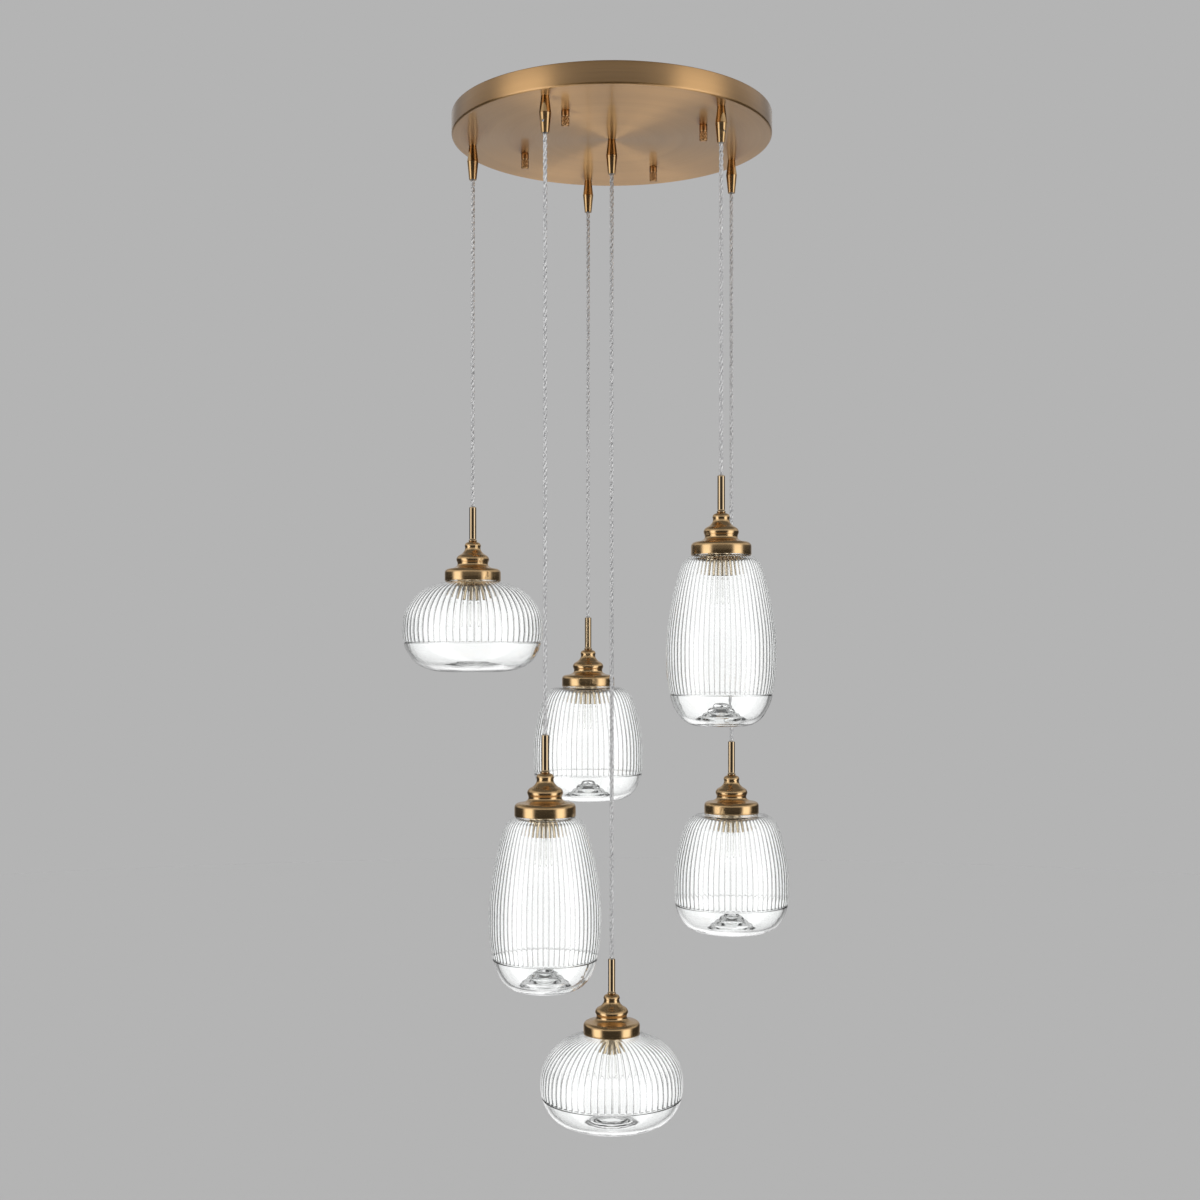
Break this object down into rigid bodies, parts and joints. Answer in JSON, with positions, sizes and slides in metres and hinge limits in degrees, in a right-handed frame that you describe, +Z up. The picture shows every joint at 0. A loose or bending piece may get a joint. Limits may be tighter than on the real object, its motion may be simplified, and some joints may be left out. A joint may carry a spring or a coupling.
{
  "type": "cluster pendant light",
  "caption": "Ceiling light with a round brass canopy and clear twisted cables that carry turned brass caps and ribbed pressed-glass shades at staggered heights.",
  "frame": {"origin": "centre of the ceiling-screw circle, in the ceiling plane, at the back of the bracket", "axes": "+Z up, out of the ceiling side; +Y away from the viewer of the picture; +X to the viewer's right"},
  "size_m": [0.56, 0.5348, 1.4193],
  "materials": {
    "canopy_brass": "aged brass, fine circular brushing, clear lacquer",
    "cap_brass": "satin turned brass",
    "polished_brass": "polished brass",
    "holder_brass": "bright brass sheet",
    "screw_brass": "plain turned brass",
    "bracket_steel": "zinc-plated sheet",
    "zinc_steel": "bright zinc plating",
    "dark_steel": "black oxide",
    "block_plastic": "white moulded plastic",
    "earth_paint": "green paint",
    "clear_cable": "clear twisted cable with tinned conductors",
    "ceramic_white": "unglazed ceramic",
    "bulb_glass": "clear capsule bulb, lit",
    "clear_glass": "clear pressed glass with ribs inside"
  },
  "bodies": {
    "canopy": {"canopy_shell": "canopy_brass", "ceiling_bracket": "bracket_steel", "bracket_studs": "zinc_steel", "knurled_nuts": "polished_brass", "cord_grips": "polished_brass", "grip_lock_nuts": "zinc_steel", "grip_set_screws": "dark_steel", "terminal_block": "block_plastic", "terminal_screws": "screw_brass", "earth_terminal": "earth_paint", "inner_leads": "clear_cable"},
    "bend_1": {"cable_root_1": "clear_cable"},
    "drop_1": {"cable_1": "clear_cable"},
    "pendant_1": {"stem_1": "polished_brass", "cap_1": "cap_brass", "holder_cup_1": "holder_brass", "socket_1": "ceramic_white", "bulb_1": "bulb_glass"},
    "shade_1": {"glass_1": "clear_glass"},
    "bend_2": {"cable_root_2": "clear_cable"},
    "drop_2": {"cable_2": "clear_cable"},
    "pendant_2": {"stem_2": "polished_brass", "cap_2": "cap_brass", "holder_cup_2": "holder_brass", "socket_2": "ceramic_white", "bulb_2": "bulb_glass"},
    "shade_2": {"glass_2": "clear_glass"},
    "bend_3": {"cable_root_3": "clear_cable"},
    "drop_3": {"cable_3": "clear_cable"},
    "pendant_3": {"stem_3": "polished_brass", "cap_3": "cap_brass", "holder_cup_3": "holder_brass", "socket_3": "ceramic_white", "bulb_3": "bulb_glass"},
    "shade_3": {"glass_3": "clear_glass"},
    "bend_4": {"cable_root_4": "clear_cable"},
    "drop_4": {"cable_4": "clear_cable"},
    "pendant_4": {"stem_4": "polished_brass", "cap_4": "cap_brass", "holder_cup_4": "holder_brass", "socket_4": "ceramic_white", "bulb_4": "bulb_glass"},
    "shade_4": {"glass_4": "clear_glass"},
    "bend_5": {"cable_root_5": "clear_cable"},
    "drop_5": {"cable_5": "clear_cable"},
    "pendant_5": {"stem_5": "polished_brass", "cap_5": "cap_brass", "holder_cup_5": "holder_brass", "socket_5": "ceramic_white", "bulb_5": "bulb_glass"},
    "shade_5": {"glass_5": "clear_glass"},
    "bend_6": {"cable_root_6": "clear_cable"},
    "drop_6": {"cable_6": "clear_cable"},
    "pendant_6": {"stem_6": "polished_brass", "cap_6": "cap_brass", "holder_cup_6": "holder_brass", "socket_6": "ceramic_white", "bulb_6": "bulb_glass"},
    "shade_6": {"glass_6": "clear_glass"}
  },
  "joints": [
    {"name": "sway_x_1", "type": "hinge", "parent": "canopy", "child": "bend_1", "pos_m": [-0.19805, 0.02783, -0.0782], "axis": [1, 0, 0], "range_deg": [-5, 5]},
    {"name": "sway_y_1", "type": "hinge", "parent": "bend_1", "child": "drop_1", "pos_m": [-0.19805, 0.02783, -0.0898], "axis": [0, 1, 0], "range_deg": [-5, 5]},
    {"name": "raise_1", "type": "slide", "parent": "drop_1", "child": "pendant_1", "axis": [0, 0, 1], "range_m": [0, 0.15], "deforming": ["cable_1"]},
    {"name": "glass_release_1", "type": "slide", "parent": "pendant_1", "child": "shade_1", "axis": [0, 0, -1], "range_m": [0, 0.08]},
    {"name": "sway_x_2", "type": "hinge", "parent": "canopy", "child": "bend_2", "pos_m": [-0.08767, -0.17976, -0.0782], "axis": [1, 0, 0], "range_deg": [-5, 5]},
    {"name": "sway_y_2", "type": "hinge", "parent": "bend_2", "child": "drop_2", "pos_m": [-0.08767, -0.17976, -0.0898], "axis": [0, 1, 0], "range_deg": [-5, 5]},
    {"name": "raise_2", "type": "slide", "parent": "drop_2", "child": "pendant_2", "axis": [0, 0, 1], "range_m": [0, 0.15], "deforming": ["cable_2"]},
    {"name": "glass_release_2", "type": "slide", "parent": "pendant_2", "child": "shade_2", "axis": [0, 0, -1], "range_m": [0, 0.08]},
    {"name": "sway_x_3", "type": "hinge", "parent": "canopy", "child": "bend_3", "pos_m": [-0.03473, 0.19696, -0.0782], "axis": [1, 0, 0], "range_deg": [-5, 5]},
    {"name": "sway_y_3", "type": "hinge", "parent": "bend_3", "child": "drop_3", "pos_m": [-0.03473, 0.19696, -0.0898], "axis": [0, 1, 0], "range_deg": [-5, 5]},
    {"name": "raise_3", "type": "slide", "parent": "drop_3", "child": "pendant_3", "axis": [0, 0, 1], "range_m": [0, 0.15], "deforming": ["cable_3"]},
    {"name": "glass_release_3", "type": "slide", "parent": "pendant_3", "child": "shade_3", "axis": [0, 0, -1], "range_m": [0, 0.08]},
    {"name": "sway_x_4", "type": "hinge", "parent": "canopy", "child": "bend_4", "pos_m": [0, 0, -0.0782], "axis": [1, 0, 0], "range_deg": [-5, 5]},
    {"name": "sway_y_4", "type": "hinge", "parent": "bend_4", "child": "drop_4", "pos_m": [0, 0, -0.0898], "axis": [0, 1, 0], "range_deg": [-5, 5]},
    {"name": "raise_4", "type": "slide", "parent": "drop_4", "child": "pendant_4", "axis": [0, 0, 1], "range_m": [0, 0.15], "deforming": ["cable_4"]},
    {"name": "glass_release_4", "type": "slide", "parent": "pendant_4", "child": "shade_4", "axis": [0, 0, -1], "range_m": [0, 0.08]},
    {"name": "sway_x_5", "type": "hinge", "parent": "canopy", "child": "bend_5", "pos_m": [0.14387, -0.13893, -0.0782], "axis": [1, 0, 0], "range_deg": [-5, 5]},
    {"name": "sway_y_5", "type": "hinge", "parent": "bend_5", "child": "drop_5", "pos_m": [0.14387, -0.13893, -0.0898], "axis": [0, 1, 0], "range_deg": [-5, 5]},
    {"name": "raise_5", "type": "slide", "parent": "drop_5", "child": "pendant_5", "axis": [0, 0, 1], "range_m": [0, 0.15], "deforming": ["cable_5"]},
    {"name": "glass_release_5", "type": "slide", "parent": "pendant_5", "child": "shade_5", "axis": [0, 0, -1], "range_m": [0, 0.08]},
    {"name": "sway_x_6", "type": "hinge", "parent": "canopy", "child": "bend_6", "pos_m": [0.17659, 0.09389, -0.0782], "axis": [1, 0, 0], "range_deg": [-5, 5]},
    {"name": "sway_y_6", "type": "hinge", "parent": "bend_6", "child": "drop_6", "pos_m": [0.17659, 0.09389, -0.0898], "axis": [0, 1, 0], "range_deg": [-5, 5]},
    {"name": "raise_6", "type": "slide", "parent": "drop_6", "child": "pendant_6", "axis": [0, 0, 1], "range_m": [0, 0.15], "deforming": ["cable_6"]},
    {"name": "glass_release_6", "type": "slide", "parent": "pendant_6", "child": "shade_6", "axis": [0, 0, -1], "range_m": [0, 0.08]}
  ]
}
